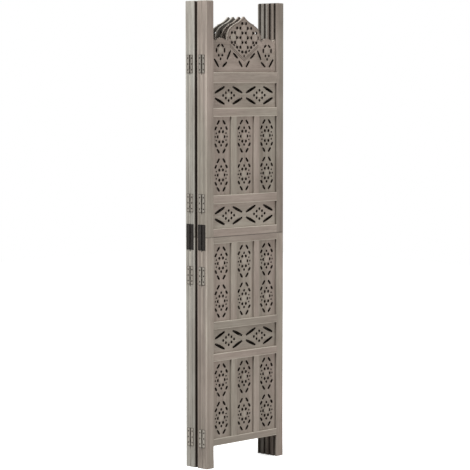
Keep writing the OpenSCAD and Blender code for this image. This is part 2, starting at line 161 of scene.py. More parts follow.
class ScreenFinish(bpy.types.PropertyGroup):
    """Colours of the wood, the wash and the metal"""

    wash: colour_of("Wash", "Grey wash over the wood", (0.352, 0.310, 0.256))
    warm_wash: colour_of(
        "Warm wash", "Wash where the wood's red shows through", (0.362, 0.294, 0.250))
    cool_wash: colour_of("Cool wash", "Wash of the two rear panels", (0.380, 0.358, 0.316))
    bare: colour_of("Bare wood", "Wood where the wash is thin", (0.190, 0.150, 0.120))
    # Pale of wood rubbed along the arrises, and also the painted highlight on the rails' borders and
    # the boards' outer edges
    worn: colour_of("Worn arris", "Wood rubbed pale along the arrises", (0.540, 0.475, 0.395))
    # Dark of stained wood, pores and end-grain pits, and also the painted shade in the corners, in and
    # round the openings, and in the wedge behind panel 2
    grime: colour_of("Grime", "Dark stain in the corners and openings", (0.022, 0.014, 0.009))
    dowel: colour_of("Dowel wood", "Bare pale wood of the dowels", (0.480, 0.360, 0.230))
    paint: colour_of("Hinge paint", "Paint on the small hinges", (0.178, 0.156, 0.132))
    black: colour_of("Black paint", "Paint on the joining hinges", (0.022, 0.018, 0.0155))
    steel: colour_of("Steel", "Dull steel of pins and screws", (0.220, 0.205, 0.190))


class ScreenStage(bpy.types.PropertyGroup):
    """Camera and light"""

    lens: FloatProperty(
        name="Lens", description="Focal length on a 36 mm sensor", default=159.1, unit="CAMERA")
    camera_place: FloatVectorProperty(
        name="Camera place", description="Where the camera stands", size=3,
        default=(-5.399, -5.118, 1.363), subtype="TRANSLATION", unit="LENGTH")
    camera_turn: angle_of("Camera turn", "Turn of the view from +Y towards +X", math.radians(46.53))
    camera_dip: angle_of("Camera dip", "Angle at which the camera looks down", math.radians(4.19))
    key_power: power_of("Key light", "Power of the soft light on the left", 580)
    fill_power: power_of("Fill light", "Power of the soft light in front", 116)
    back_power: power_of("Back light", "Power of the soft light behind", 70)
    ambient: FloatProperty(
        name="Ambient", description="Strength of the light from all round", default=0.28)


# ---------- Materials ----------


class Number:
    """A node's number socket. Python's operators on it add Math nodes."""

    def __init__(self, finish, socket):
        self.finish = finish
        self.socket = socket

    def __add__(self, other):
        return self.finish.maths("ADD", self, other)

    def __radd__(self, other):
        return self.finish.maths("ADD", other, self)

    def __sub__(self, other):
        return self.finish.maths("SUBTRACT", self, other)

    def __rsub__(self, other):
        return self.finish.maths("SUBTRACT", other, self)

    def __mul__(self, other):
        return self.finish.maths("MULTIPLY", self, other)

    def __rmul__(self, other):
        return self.finish.maths("MULTIPLY", other, self)


class Finish:
    """A material that is put together from nodes."""

    # Metres by which a piece's tone slides its grain along each axis
    TONE_SLIDE = (0.83, 1.37, 0.59)

    def __init__(self, name):
        self.material = bpy.data.materials.new(name)
        self.material.use_nodes = True
        self.tree = self.material.node_tree
        self.tree.nodes.clear()

    def node(self, kind, settings, values):
        """Adds a node, then sets its settings, then its sockets by values or by links."""
        made = self.tree.nodes.new("ShaderNode" + kind)
        for key, value in settings.items():
            setattr(made, key, value)
        for key, value in values.items():
            socket = value.socket if isinstance(value, Number) else value
            if isinstance(socket, bpy.types.NodeSocket):
                self.tree.links.new(socket, made.inputs[key])
            else:
                made.inputs[key].default_value = socket
        return made

    def maths(self, operation, first, second):
        made = self.node("Math", {"operation": operation}, {0: first, 1: second})
        return Number(self, made.outputs[0])

    def mix(self, share, one, other):
        """A colour from one, at share 0, to other, at share 1."""
        settings = {"data_type": "RGBA", "clamp_factor": True}
        return self.node("Mix", settings, {0: share, 6: full(one), 7: full(other)}).outputs[2]

    def edge(self, value, low, high):
        """0 below low, 1 above high and smooth between them."""
        settings = {"interpolation_type": "SMOOTHSTEP"}
        made = self.node("MapRange", settings, {"Value": value, "From Min": low, "From Max": high})
        return Number(self, made.outputs["Result"])

    def attribute(self, name):
        made = self.node("Attribute", {"attribute_name": name}, {})
        return Number(self, made.outputs["Fac"])

    def height(self):
        """Height above the floor, which stays as it is when a panel turns."""
        place = self.node("TexCoord", {}, {}).outputs["Object"]
        return Number(self, self.node("SeparateXYZ", {}, {0: place}).outputs[2])

    def grain_place(self, along, stretch):
        """Object coordinates drawn out along the grain, and shifted from one piece to the next."""
        scale = [1, 1, 1]
        scale[along] = stretch
        place = self.node("TexCoord", {}, {}).outputs["Object"]
        drawn = self.node("Mapping", {}, {"Vector": place, "Scale": scale}).outputs[0]
        tone = self.attribute("tone")
        slides = {axis: tone * slide for axis, slide in enumerate(self.TONE_SLIDE)}
        shift = self.node("CombineXYZ", {}, slides).outputs[0]
        return self.node("VectorMath", {"operation": "ADD"}, {0: drawn, 1: shift}).outputs[0]

    def noise(self, place, scale, detail=4, roughness=0.55, distortion=0.0):
        values = {"Vector": place, "Scale": scale, "Detail": detail, "Roughness": roughness,
                  "Distortion": distortion}
        return Number(self, self.node("TexNoise", {}, values).outputs["Fac"])

    def shade(self, colour, roughness, height, rise, specular=0.28, metallic=0.0):
        """The surface itself: its colour, its roughness and a bump of the given rise in metres."""
        bump = self.node("Bump", {}, {"Strength": 1.0, "Distance": rise, "Height": height})
        values = {"Base Color": colour, "Roughness": roughness, "Normal": bump.outputs[0],
                  "Specular IOR Level": specular, "Metallic": metallic}
        surface = self.node("BsdfPrincipled", {}, values)
        self.node("OutputMaterial", {}, {"Surface": surface.outputs[0]})
        return self.material


def full(colour):
    """A colour with its alpha, or a socket as it is."""
    return colour if isinstance(colour, bpy.types.NodeSocket) else (*colour, 1.0)


def swing(value, reach):
    """A noise's value as a number around 0, which goes up and down by half of reach."""
    return reach * (value - 0.5)


def washed_wood(name, along=UP, wash_share=0.72, wear_and_highlight_share=0.0, dark_share=0.0, specular=0.28):
    """Grey-washed wood with its grain along an axis, made pale by a share of wear and painted
    highlight, and dark by a share of staining and painted shade.
    """
    # How far each kind of dark covers the wash where it is full: painted shade in the corners round
    # the boards, pores, darkening high up, the dark seam, and painted shade in the mouth of the wedge
    corner_shade_cover, pore_cover, high_cover, seam_cover, wedge_shade_cover = 0.34, 0.16, 0.15, 0.6, 0.95
    cool_cover = 0.8
    colours = bpy.context.scene.screen_finish
    made = Finish(name)
    place = made.grain_place(along, 0.045)
    broad = made.grain_place(along, 0.22)
    streak = made.noise(place, 230, detail=5, roughness=0.62, distortion=0.35)
    fibre = made.noise(place, 820, detail=2, roughness=0.5)
    figure = made.noise(place, 46, detail=3, roughness=0.5, distortion=1.1)
    patch = made.noise(broad, 17, detail=4, roughness=0.6)
    drift = made.noise(broad, 7, detail=2, roughness=0.5)
    cloud = made.noise(made.grain_place(along, 0.5), 13, detail=3, roughness=0.6)
    pore = made.edge(fibre, 0.60, 0.70)

    wash = made.mix(made.edge(drift, 0.38, 0.62), colours.wash, colours.warm_wash)
    wash = made.mix(made.attribute("cool") * cool_cover, wash, colours.cool_wash)
    cover = wash_share + swing(patch, 1.4) - swing(streak, 1.0) - swing(figure, 0.6)
    colour = made.mix(cover, colours.bare, wash)
    # Wear and painted highlight: pale along the rails' borders, and by a share along arrises and board
    # edges
    rubbed_and_highlit = made.attribute("worn") * made.edge(patch, 0.2, 0.5)
    colour = made.mix(made.edge(streak, 0.35, 0.75) * wear_and_highlight_share + rubbed_and_highlit, colour, colours.worn)

    off_seam = made.maths("ABSOLUTE", made.height() - SEAM, 0)
    seam = (1 - made.edge(off_seam, 0.8 * MM, 2.4 * MM)) * made.edge(figure, 0.25, 0.5)
    high_up = made.edge(made.height(), CREST_BASE, CAD_BOX[1].z)
    # Painted shade: the mouth of the wedge behind panel 2 and the corners round the boards are
    # darkened where shade falls
    pressed = made.edge(made.attribute("pressed"), 0.55, 0.75)
    dark = dark_share + made.attribute("stain") + (0.05 - 0.07 * made.attribute("tone"))
    dark = dark + made.attribute("grime") * corner_shade_cover + pore * pore_cover + swing(cloud, 0.4)
    dark = dark + high_up * high_cover + seam * seam_cover + pressed * wedge_shade_cover
    colour = made.mix(dark, colour, colours.grime)
    relief = streak * 0.7 + figure * 0.3 - pore * 0.5
    return made.shade(colour, 0.74 + swing(streak, 0.22), relief, 0.25 * MM, specular)


def end_grain(name):
    """Sawn ends of the members, with growth rings."""
    colours = bpy.context.scene.screen_finish
    made = Finish(name)
    place = made.grain_place(UP, 1.0)
    ring = made.noise(place, 95, detail=2, roughness=0.5, distortion=2.4)
    pit = made.noise(place, 900, detail=2)
    colour = made.mix(made.edge(ring, 0.42, 0.58), colours.bare, colours.wash)
    colour = made.mix(made.edge(pit, 0.55, 0.7) * 0.5, colour, colours.grime)
    return made.shade(colour, 0.82, ring + pit * 0.5, 0.2 * MM)


def raw_wood(name):
    """Pale turned wood of the dowels."""
    colours = bpy.context.scene.screen_finish
    made = Finish(name)
    place = made.grain_place(UP, 0.05)
    streak = made.noise(place, 400, detail=4, roughness=0.6, distortion=0.3)
    colour = made.mix(made.edge(streak, 0.35, 0.7) * 0.5, colours.dowel, colours.bare)
    return made.shade(colour, 0.6, streak, 0.1 * MM)


def paint_on_steel(name, paint, wear, gloss, specular, lower_paler=0.0):
    """Brushed-on paint, rubbed through to steel in spots and paler by a share towards the floor."""
    thick = [0.55 * channel for channel in paint]
    pale = [2.0 * channel for channel in paint]
    made = Finish(name)
    place = made.grain_place(UP, 0.35)
    low_down = (1 - made.height() * (1 / CAD_BOX[1].z)) * lower_paler
    coat = made.noise(place, 160, detail=4, roughness=0.6)
    spot = made.noise(place, 330, detail=6, roughness=0.7)
    bared = made.edge(spot, 0.72 - wear, 0.80 - wear)
    colour = made.mix(made.edge(coat, 0.3, 0.7) * 0.45, paint, thick)
    colour = made.mix(low_down, colour, pale)
    colour = made.mix(bared, colour, bpy.context.scene.screen_finish.steel)
    roughness = gloss + swing(coat, 0.2) + bared * 0.1
    return made.shade(colour, roughness, coat * 0.5 - bared, 0.05 * MM, specular)


def dull_steel(name, least_dark, most_dark):
    """Steel with a brown-grey skin, darker in spots."""
    colours = bpy.context.scene.screen_finish
    made = Finish(name)
    place = made.grain_place(UP, 1.0)
    skin = made.noise(place, 520, detail=5, roughness=0.65)
    share = least_dark + made.edge(skin, 0.35, 0.65) * (most_dark - least_dark)
    colour = made.mix(share, colours.steel, colours.grime)
    return made.shade(colour, 0.42 + 0.3 * skin, skin, 0.03 * MM, specular=0.3, metallic=0.7)


def recipes():
    """Every material's name, with the function that makes it and what that function is given."""
    colours = bpy.context.scene.screen_finish
    deep_black = [0.25 * channel for channel in colours.black]
    board = {"wash_share": 0.65, "dark_share": 0.03}
    hinge = {"paint": colours.paint, "gloss": 0.55, "specular": 0.25, "lower_paler": 0.7}
    return {
        "wood_upright": (washed_wood, {}),
        "wood_across": (washed_wood, {"along": ACROSS}),
        "arris_upright": (washed_wood, {"wash_share": 0.62, "wear_and_highlight_share": 0.55}),
        # Painted highlight along the rails' arrises, with their wear
        "arris_across": (washed_wood, {"along": ACROSS, "wash_share": 0.80, "wear_and_highlight_share": 1.0}),
        # Painted shade: the inner edges of the stiles, in the reveals beside the boards, are darker as
        # if in shade
        "inner_upright": (washed_wood, {"wash_share": 0.62, "dark_share": 0.10}),
        "groove": (washed_wood, {"wash_share": 0.35, "dark_share": 0.16}),
        "end_grain": (end_grain, {}),
        "raw_wood": (raw_wood, {}),
        "board_upright": (washed_wood, board),
        "board_across": (washed_wood, {"along": ACROSS, **board}),
        # Painted shade round the openings, together with dirt on the rounded rims
        "rim": (washed_wood, {"wash_share": 0.45, "dark_share": 0.62}),
        # Painted highlight: the outer edges of the boards are pale, as if caught by the light
        "crest_edge": (washed_wood, {"along": ACROSS, "wash_share": 1.10, "wear_and_highlight_share": 1.2}),
        "boss": (washed_wood, {"wash_share": 0.85, "wear_and_highlight_share": 0.25}),
        # Painted shade: the walls through the openings are nearly black, as if in deep shade
        "pierced_wall": (washed_wood, {"along": THROUGH, "wash_share": 0.05, "dark_share": 0.97,
                                       "specular": 0.03}),
        "carved_line": (washed_wood, {"wash_share": 0.45, "dark_share": 0.50}),
        "hinge_paint": (paint_on_steel, {"wear": 0.04, **hinge}),
        "hinge_paint_worn": (paint_on_steel, {"wear": 0.12, **hinge}),
        "hinge_shadow": (paint_on_steel, {"paint": colours.grime, "wear": 0.0, "gloss": 0.6,
                                          "specular": 0.1}),
        "black_paint": (paint_on_steel, {"paint": colours.black, "wear": 0.0, "gloss": 0.50,
                                         "specular": 0.12}),
        "black_paint_worn": (paint_on_steel, {"paint": colours.black, "wear": 0.08, "gloss": 0.50,
                                              "specular": 0.15}),
        "black_shadow": (paint_on_steel, {"paint": deep_black, "wear": 0.0, "gloss": 0.55,
                                          "specular": 0.08}),
        "screw_steel": (dull_steel, {"least_dark": 0.80, "most_dark": 0.98}),
        "screw_recess": (dull_steel, {"least_dark": 0.97, "most_dark": 1.0}),
        "pin_steel": (dull_steel, {"least_dark": 0.0, "most_dark": 0.35}),
    }


def finish(name):
    """A material, made when it is first asked for."""
    material = bpy.data.materials.get(name)
    if material is None:
        make, settings = recipes()[name]
        material = make(name, **settings)
    return material


# ---------- Handling of pieces ----------


def pick(*pieces):
    """Selects these pieces and nothing else, with the first one active."""
    for shown in bpy.context.view_layer.objects:
        shown.select_set(False)
    for piece in pieces:
        piece.select_set(True)
    bpy.context.view_layer.objects.active = pieces[0]


def edit(piece):
    """Opens a piece in edit mode with all of it selected."""
    pick(piece)
    bpy.ops.object.mode_set(mode="EDIT")
    bpy.ops.mesh.select_all(action="SELECT")


def close_edit():
    bpy.ops.object.mode_set(mode="OBJECT")


def extent(piece):
    """Lowest and highest corner of a piece's mesh."""
    places = [vertex.co for vertex in piece.data.vertices]
    low = Vector(min(place[axis] for place in places) for axis in range(3))
    high = Vector(max(place[axis] for place in places) for axis in range(3))
    return low, high


def keep_within(piece, low, high):
    """Brings back what the rounding of a narrow arris pushed out of the piece's box."""
    for vertex in piece.data.vertices:
        vertex.co = [min(max(value, least), most)
                     for value, least, most in zip(vertex.co, low, high)]


def panel_place(k):
    """Where panel k stands at rest, as a move from panel 1's place."""
    shift = Matrix.Translation((0, (k - 1) * PANEL_PITCH, 0))
    if k <= 2:
        return shift
    pin = Vector(JOINTS["fold_2"]["pos_m"])
    wedge = math.radians(min(JOINTS["fold_2"]["range_deg"]))
    turn = Matrix.Translation(pin) @ Matrix.Rotation(wedge, 4, "Z") @ Matrix.Translation(-pin)
    return turn @ shift


def copied(node, name, move):
    """A moved copy of a CAD node, with its loose triangles merged and its flat faces made whole."""
    piece = bpy.data.objects.new(name, frame["nodes"][node].data.copy())
    bpy.context.scene.collection.objects.link(piece)
    piece.data.materials.clear()
    piece.data.transform(move)
    edit(piece)
    if piece.data.has_custom_normals:
        bpy.ops.mesh.customdata_custom_splitnormals_clear()
    bpy.ops.mesh.remove_doubles(threshold=MERGE)
    bpy.ops.mesh.dissolve_limited(angle_limit=FLAT)
    close_edit()
    return piece


def cut_level(piece, axis, level):
    """Cuts a piece's faces along a level of an axis, and keeps both sides."""
    way = [float(axis == other) for other in range(3)]
    edit(piece)
    bpy.ops.mesh.bisect(plane_co=[level * share for share in way], plane_no=way)
    close_edit()


def taken_apart(piece):
    """The solids of a piece as separate pieces, from the floor up."""
    edit(piece)
    bpy.ops.mesh.separate(type="LOOSE")
    close_edit()
    parts = list(bpy.context.selected_objects)
    return sorted(parts, key=lambda part: [round(value, 4) for value in reversed(extent(part)[0])])


def apply_modifier(piece, kind, **settings):
    pick(piece)
    modifier = piece.modifiers.new(kind.lower(), kind)
    for key, value in settings.items():
        setattr(modifier, key, value)
    bpy.ops.object.modifier_apply(modifier=modifier.name)


def round_edges(piece, width, segments, material, limit="ANGLE"):
    """Rounds the sharp or the marked edges and gives the rounding its own finish."""
    sharp_from = math.radians(50)
    apply_modifier(piece, "BEVEL", width=width, segments=segments, limit_method=limit,
                   angle_limit=sharp_from, use_clamp_overlap=False, loop_slide=False,
                   material=material)


def set_attribute(piece, name, values):
    """Writes one number for each vertex."""
    attribute = piece.data.attributes.get(name) or piece.data.attributes.new(name, "FLOAT", "POINT")
    attribute.data.foreach_set("value", values)


def set_tone(piece):
    """A tone of the piece's own, from -1 to 1, drawn by its place."""
    low, high = extent(piece)
    seed = " ".join(f"{value:.3f}" for value in (*low, *high))
    tone = random.Random(seed).uniform(-1, 1)
    set_attribute(piece, "tone", [tone] * len(piece.data.vertices))


def set_stain_and_shade(piece, k):
    """Darkens panel 2, paints shade on the upper right stiles and along panel 1's left side, and cools
    the rear panels.
    """
    of_panel_2, painted_shade_on_right_stile, painted_shade_on_left = 0.10, 0.23, 0.08
    low, high = extent(piece)
    right_stile = low.x > FRAME_HIGH.x / 2 and high.z - low.z > SEAM / 2
    all_over = of_panel_2 * (k == 2) + painted_shade_on_right_stile * (right_stile and high.z > SEAM + MM)
    left_side_shade = painted_shade_on_left * (k == 1)
    side = FRAME_LOW.x + 0.5 * MM
    stains = [all_over + left_side_shade * (vertex.co.x < side) for vertex in piece.data.vertices]
    set_attribute(piece, "stain", stains)
    set_attribute(piece, "cool", [float(k > 2)] * len(piece.data.vertices))


def set_painted_shade(piece, k):
    """Painted shade in the corners round the boards, and in the mouth of the wedge behind panel 2."""
    near = 0.6 * MM
    flush = 0.05 * MM
    on_arris = 0.64
    arris = 4 * MM
    wedge_side = {2: FRAME_HIGH.y, 3: FRAME_LOW.y}.get(k, CAD_BOX[1].y)
    corner_shaded = []
    pressed = []
    for vertex in piece.data.vertices:
        corner_shaded.append(float(BOARD_LOW.y - near < vertex.co.y < BOARD_HIGH.y + near))
        off = abs(vertex.co.y - wedge_side)
        at_mouth = vertex.co.x < FRAME_LOW.x + arris and off < arris
        pressed.append(at_mouth * (1.0 if off < flush else on_arris))
    set_attribute(piece, "grime", corner_shaded)
    set_attribute(piece, "pressed", pressed)


def dress(piece, names, rule):
    """Gives the piece its materials, and each face the one that the rule picks."""
    for name in names:
        piece.data.materials.append(finish(name))
    for face in piece.data.polygons:
        face.material_index = rule(face)


def joined(parts, name):
    """All the parts as one piece."""
    pick(*parts)
    if len(parts) > 1:
        bpy.ops.object.join()
    piece = bpy.context.view_layer.objects.active
    piece.name = name
    piece.data.name = name
    return piece


def settle(piece, body, slot, *nodes):
    """Smooths the shading, and hands the piece over to the body that it moves with."""
    smooth_up_to = math.radians(32)
    pick(piece)
    bpy.ops.object.shade_smooth_by_angle(angle=smooth_up_to)
    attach(piece, body)
    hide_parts(*nodes)


# ---------- Frame members ----------


def member_rule(low, high, along):
    """Picks a face's finish by its place on a member, whose grain runs along the given axis."""
    depth = 1.2 * MM
    crosswise = [axis for axis in range(3) if axis != along]
    off_middle = low.x + high.x
    is_stile = along == UP and abs(off_middle) > FRAME_HIGH.x
    side = math.copysign(1, off_middle) if is_stile else 0

    def rule(face):
        if abs(face.normal[along]) > SQUARE:
            return END
        if all(low[axis] + depth < face.center[axis] < high[axis] - depth for axis in crosswise):
            return GROOVE
        # The inner edges of stiles get the darker finish that paints their shade
        if face.normal.x * side < -SQUARE:
            return INNER
        return PLAIN if max(abs(value) for value in face.normal) > SQUARE else ARRIS

    return rule


def rub_and_highlight_rail(piece, low, high):
    """Cuts a rail along its borders, so that the wear and painted highlight of its arrises fade into
    its front and back.
    """
    fade = 3.2 * MM
    arris = 1.0 * MM
    for level in (low.z + fade, high.z - fade):
        cut_level(piece, UP, level)
    values = []
    for vertex in piece.data.vertices:
        at_border = min(vertex.co.z - low.z, high.z - vertex.co.z) < arris
        at_face = min(vertex.co.y - low.y, high.y - vertex.co.y) < arris
        values.append(float(at_border and at_face and abs(vertex.co.z - SEAM) > arris))
    set_attribute(piece, "worn", values)


def finish_member(part, along, k):
    """Finishes one stile, rail or muntin of panel k that stands in panel 1's place."""
    arris_round = 0.3 * MM
    grain = "upright" if along == UP else "across"
    names = [f"wood_{grain}", f"arris_{grain}", "end_grain", "groove", "inner_upright"]
    low, high = extent(part)
    dress(part, names, member_rule(low, high, along))
    round_edges(part, arris_round, 1, ARRIS)
    keep_within(part, low, high)
    if along == ACROSS:
        rub_and_highlight_rail(part, low, high)
    set_tone(part)
    set_stain_and_shade(part, k)
    set_painted_shade(part, k)


def finish_members(k, kind, along):
    """Finishes all the members of one kind in panel k."""
    node = f"panel_{k}_{kind}"
    whole = copied(node, node + "_washed", panel_place(k).inverted())
    parts = taken_apart(whole)
    for part in parts:
        finish_member(part, along, k)
        part.data.transform(panel_place(k))
    piece = joined(parts, node + "_washed")
    settle(piece, f"panel_{k}", "washed_frame", node)


class SCREEN_OT_frames(bpy.types.Operator):
    """Finishes the stiles, rails and muntins of every panel"""

    bl_idname = "screen_parts.frames"
    bl_label = "Finish the Frames"

    def execute(self, context):
        for k in PANELS:
            for half in ("upper", "lower"):
                finish_members(k, half + "_stiles", UP)
                finish_members(k, half + "_rails", ACROSS)
                finish_members(k, half + "_muntins", UP)
        return {"FINISHED"}


# ---------- Carved boards ----------


def is_wall(face):
    """Whether a face runs through a board, on its outside or in an opening."""
    return abs(face.normal.y) < 0.5


def border_walls(mesh):
    """Numbers of the faces that go round the outside of a board, and not round an opening."""
    walls = [face for face in mesh.polygons if is_wall(face)]
    touching = {}
    for face in walls:
        for vertex in face.vertices:
            touching.setdefault(vertex, []).append(face)
    found = set()
    waiting = [min(walls, key=lambda face: face.center.x)]
    while waiting:
        face = waiting.pop()
        if face.index not in found:
            found.add(face.index)
            for vertex in face.vertices:
                waiting.extend(touching[vertex])
    return found


def mark_rims(mesh):
    """Marks the edges where the walls through a board meet its front and back."""
    marks = mesh.attributes.new("bevel_weight_edge", "FLOAT", "EDGE")
    levels = (BOARD_LOW.y, BOARD_HIGH.y)
    flat_edges = set()
    wall_edges = set()
    for face in mesh.polygons:
        depths = [mesh.vertices[vertex].co.y for vertex in face.vertices]
        off_face = min(abs(face.center.y - level) for level in levels)
        if abs(face.normal.y) > SQUARE and off_face < MERGE:
            flat_edges.update(face.edge_keys)
        elif max(depths) - min(depths) > (BOARD_HIGH.y - BOARD_LOW.y) / 2:
            wall_edges.update(face.edge_keys)
    marks.data.foreach_set("value", [float(edge.key in flat_edges and edge.key in wall_edges)
                                     for edge in mesh.edges])


def add_boss(x, z, radius, back, rise):
    """A turned boss on the front or the back of a board: a rim, a hollow ring and a domed eye."""
    sunk = 1.0 * MM
    rim_rise = 0.6 * rise
    # Each step inwards: its width as a share of the radius, and its rise as a share of the boss's
    turned = ((0.10, 0.4), (0.28, -0.55), (0.34, 0.5))
    level = BOARD_HIGH.y if back else BOARD_LOW.y
    out = 1 if back else -1
    bpy.ops.mesh.primitive_cylinder_add(
        vertices=16, radius=radius, depth=sunk + rim_rise,
        location=(x, level + out * (rim_rise - sunk) / 2, z), rotation=(math.radians(90), 0, 0))
    boss = bpy.context.active_object
    bpy.ops.object.transform_apply(location=True, rotation=True, scale=True)
    edit(boss)
    bpy.ops.mesh.select_all(action="DESELECT")
    close_edit()
    for face in boss.data.polygons:
        face.select = face.normal.y * out > SQUARE
    bpy.ops.object.mode_set(mode="EDIT")
    for width, height in turned:
        bpy.ops.mesh.inset(thickness=width * radius, depth=height * rise)
    close_edit()
    boss.data.materials.append(finish("boss"))
    return boss


def add_cutter(points, depth, back):
    """A four-sided rod along a line on the front or the back of a board."""
    level = BOARD_HIGH.y if back else BOARD_LOW.y
    curve = bpy.data.curves.new("line", "CURVE")
    curve.dimensions = "3D"
    curve.bevel_depth = depth
    curve.bevel_resolution = 0
    curve.use_fill_caps = True
    spline = curve.splines.new("POLY")
    spline.points.add(len(points) - 1)
    for point, (x, z) in zip(spline.points, points):
        point.co = (x, level, z, 1)
    rod = bpy.data.objects.new("line", curve)
    bpy.context.scene.collection.objects.link(rod)
    pick(rod)
    bpy.ops.object.convert(target="MESH")
    rod = bpy.context.active_object
    edit(rod)
    bpy.ops.mesh.remove_doubles(threshold=MERGE)
    bpy.ops.mesh.normals_make_consistent(inside=False)
    close_edit()
    rod.data.materials.clear()
    rod.data.materials.append(finish("carved_line"))
    return rod


def combine(board, tools, operation):
    """Cuts the tools out of the board, or adds them to it, and puts them away."""
    tool = joined(tools, "tool")
    apply_modifier(board, "BOOLEAN", object=tool, operation=operation, solver="EXACT",
                   material_mode="TRANSFER")
    bpy.data.objects.remove(tool)


def carve(board, grain, bosses, lines):
    """Cuts a board's lines, sets its bosses and rounds its rims, on its front and its back."""
    carving = bpy.context.scene.screen_carving
    outside = border_walls(board.data)

    def rule(face):
        if face.index in outside:
            return OUTSIDE
        return WALL if is_wall(face) else FACE

    # A board's outer edges get the painted highlight
    dress(board, [f"board_{grain}", "rim", "pierced_wall", "crest_edge"], rule)
    if lines:
        rods = [add_cutter(*line, back) for line in lines for back in (False, True)]
        combine(board, rods, "DIFFERENCE")
    raised = [add_boss(*boss, back, carving.boss_rise) for boss in bosses for back in (False, True)]
    combine(board, raised, "UNION")
    mark_rims(board.data)
    round_edges(board, carving.rim_round, 2, RIM, "WEIGHT")


def arc(start, end, rise, steps=8):
    """Points of an arc from start to end that swells to the left of its way, without the end."""
    way = end - start
    radius = (way.length ** 2 / 4 + rise ** 2) / (2 * abs(rise))
    out = Vector((-way.y, way.x)).normalized() * math.copysign(1, rise)
    middle = (start + end) / 2 - out * (radius - abs(rise))
    half = math.asin(way.length / 2 / radius)
    along = way.normalized()
    points = []
    for step in range(steps):
        turn = half * (1 - 2 * step / steps)
        points.append(middle + radius * (out * math.cos(turn) - along * math.sin(turn)))
    return points


def crest_bosses(carving):
    """Bosses of the lattice and of the two medallions: x, z and radius."""
    reach = 2
    medallion_drop = 32 * MM
    found = []
    for i in range(-reach, reach + 1):
        for j in range(-reach, reach + 1):
            if (i + j) % 2 == 0 and abs(i) + abs(j) <= reach:
                found.append((i * carving.rosette_step_x,
                              CREST_BASE + carving.lattice_middle + j * carving.rosette_step_z,
                              carving.rosette_radius))
    medallion_z = CREST_BASE + carving.valley_height - medallion_drop
    for side in (-1, 1):
        found.append((side * carving.medallion_x, medallion_z, carving.medallion_radius))
    return found


def crest_lines(carving):
    """Two lines in a V under the lattice and one along the arch, each with its depth."""
    v_ends = Vector((74 * MM, 98 * MM))
    v_foot = 46 * MM
    v_step = 6.5 * MM
    shoulder_x = 52 * MM
    shoulder_drop = 29 * MM
    tip_drop = 2 * MM
    shoulder_swell = -12 * MM
    tip_swell = 3 * MM
    inset = 0.95
    lines = []
    for drop in (0, v_step):
        right, left = [(side * v_ends.x, CREST_BASE + v_ends.y - drop) for side in (1, -1)]
        lines.append(([right, (0, CREST_BASE + v_foot - drop), left], carving.line_depth))
    foot = Vector((carving.arch_width / 2, carving.valley_height))
    shoulder = Vector((shoulder_x, carving.arch_height - shoulder_drop))
    tip = Vector((0, carving.arch_height - tip_drop))
    middle = Vector((0, carving.valley_height))
    half = arc(foot, shoulder, shoulder_swell) + arc(shoulder, tip, tip_swell) + [tip]
    half = [middle + (point - middle) * inset for point in half]
    right = [(point.x, CREST_BASE + point.y) for point in half]
    lines.append((right + [(-x, z) for x, z in reversed(right[:-1])], carving.arch_line_depth))
    return lines


def spread(board, places, kind):
    """Copies the carved board to its places in every panel."""
    for k in PANELS:
        parts = []
        for place in places:
            part = board.copy()
            part.data = board.data.copy()
            bpy.context.scene.collection.objects.link(part)
            part.data.transform(Matrix.Translation(place))
            set_tone(part)
            set_stain_and_shade(part, k)
            part.data.transform(panel_place(k))
            parts.append(part)
        node = f"panel_{k}_{kind}"
        settle(joined(parts, node + "_carved"), f"panel_{k}", "carved_board", node)
    bpy.data.objects.remove(board)


def first_and_places(kind):
    """The lowest board of a kind in panel 1, and the moves from it to every board of the kind."""
    parts = taken_apart(copied(f"panel_1_{kind}", "board", Matrix.Identity(4)))
    start = extent(parts[0])[0]
    places = [extent(part)[0] - start for part in parts]
    for part in parts[1:]:
        bpy.data.objects.remove(part)
    return parts[0], places


def middle_of(board):
    low, high = extent(board)
    return (low + high) / 2


class SCREEN_OT_crest_boards(bpy.types.Operator):
    """Carves the crest boards with the onion arch"""

    bl_idname = "screen_parts.crest_boards"
    bl_label = "Carve the Crest Boards"

    def execute(self, context):
        carving = context.scene.screen_carving
        board, places = first_and_places("crest_board")
        carve(board, "across", crest_bosses(carving), crest_lines(carving))
        spread(board, places, "crest_board")
        return {"FINISHED"}


class SCREEN_OT_cross_boards(bpy.types.Operator):
    """Carves the wide boards with two diamonds each"""

    bl_idname = "screen_parts.cross_boards"
    bl_label = "Carve the Cross Boards"

    def execute(self, context):
        carving = context.scene.screen_carving
        board, places = first_and_places("cross_boards")
        middle = middle_of(board)
        bosses = [(side * carving.diamond_pitch / 2, middle.z, carving.diamond_boss_radius)
                  for side in (-1, 1)]
        carve(board, "across", bosses, [])
        spread(board, places, "cross_boards")
        return {"FINISHED"}


class SCREEN_OT_column_boards(bpy.types.Operator):
    """Carves the tall boards with two ringed bosses each"""

    bl_idname = "screen_parts.column_boards"
    bl_label = "Carve the Column Boards"

    def execute(self, context):
        carving = context.scene.screen_carving
        board, places = first_and_places("column_boards")
        middle = middle_of(board)
        bosses = [(middle.x, middle.z + side * carving.column_pitch / 2, carving.column_boss_radius)
                  for side in (-1, 1)]
        carve(board, "upright", bosses, [])
        spread(board, places, "column_boards")
        return {"FINISHED"}


# ---------- Hinges and fasteners ----------


def leaf_ends(piece):
    """Levels of the lower ends and of the upper ends of the leaves in a row of hinges."""
    apart = 60 * MM
    levels = sorted(vertex.co.z for vertex in piece.data.vertices)
    gaps = [pair for pair in zip(levels, levels[1:]) if pair[1] - pair[0] > apart]
    feet = [levels[0]] + [above for below, above in gaps]
    tops = [below for below, above in gaps] + [levels[-1]]
    return feet, tops


